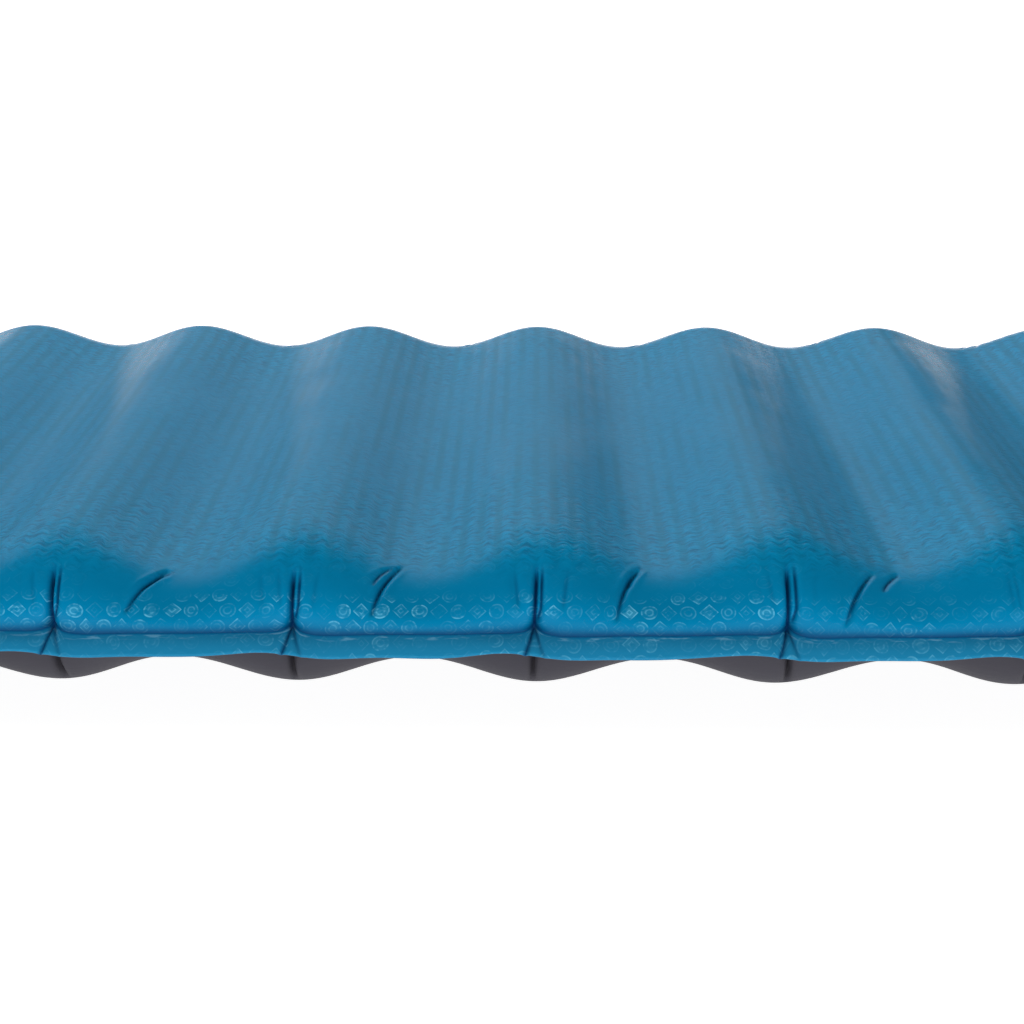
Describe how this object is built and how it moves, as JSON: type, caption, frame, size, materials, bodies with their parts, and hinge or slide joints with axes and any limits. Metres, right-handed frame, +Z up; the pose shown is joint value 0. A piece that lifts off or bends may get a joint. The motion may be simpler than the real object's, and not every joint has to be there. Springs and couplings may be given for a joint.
{
  "type": "air mattress",
  "caption": "Inflatable camping mattress with round tubes across its width, a welded rim, and a flush valve with a hinged cap over a hinged plug.",
  "frame": {"origin": "on the ground under the middle of the bed", "axes": "+X along the bed towards the end with the valve, +Y across it away from the valve's side, +Z up"},
  "size_m": [1.8306, 0.5106, 0.0804],
  "materials": {
    "blue_fabric": "satin coated woven fabric",
    "grey_fabric": "matt coated woven fabric",
    "web_film": "milky film",
    "valve_soft": "matt",
    "valve_hard": "fine texture",
    "cap_plastic": "satin",
    "seal_rubber": "translucent grey, matt",
    "pin_steel": "plain"
  },
  "bodies": {
    "bed": {"top_sheet": "blue_fabric", "bottom_sheet": "grey_fabric", "baffle_web_01": "web_film", "baffle_web_02": "web_film", "baffle_web_03": "web_film", "baffle_web_04": "web_film", "baffle_web_05": "web_film", "baffle_web_06": "web_film", "baffle_web_07": "web_film", "baffle_web_08": "web_film", "baffle_web_09": "web_film", "baffle_web_10": "web_film", "baffle_web_11": "web_film", "baffle_web_12": "web_film", "baffle_web_13": "web_film", "baffle_web_14": "web_film", "valve_socket": "valve_soft", "valve_body": "valve_hard", "plug_hinge_pin": "pin_steel"},
    "plug": {"dump_plug": "valve_hard", "plug_seal": "seal_rubber", "cap_hinge_pin": "pin_steel"},
    "cap": {"valve_cap": "cap_plastic", "cap_seal": "seal_rubber"},
    "flap": {"check_flap": "seal_rubber"}
  },
  "joints": [
    {"name": "plug_swing", "type": "hinge", "parent": "bed", "child": "plug", "pos_m": [0.84747, -0.1438, 0.077], "axis": [-1, 0, 0], "range_deg": [0, 115]},
    {"name": "cap_swing", "type": "hinge", "parent": "plug", "child": "cap", "pos_m": [0.84747, -0.1938, 0.0783], "axis": [1, 0, 0], "range_deg": [0, 120]},
    {"name": "flap_press", "type": "slide", "parent": "plug", "child": "flap", "axis": [0, 0, -1], "range_m": [0, 0.0022], "stiffness_N_per_m": 120, "springref_m": -0.0005}
  ]
}
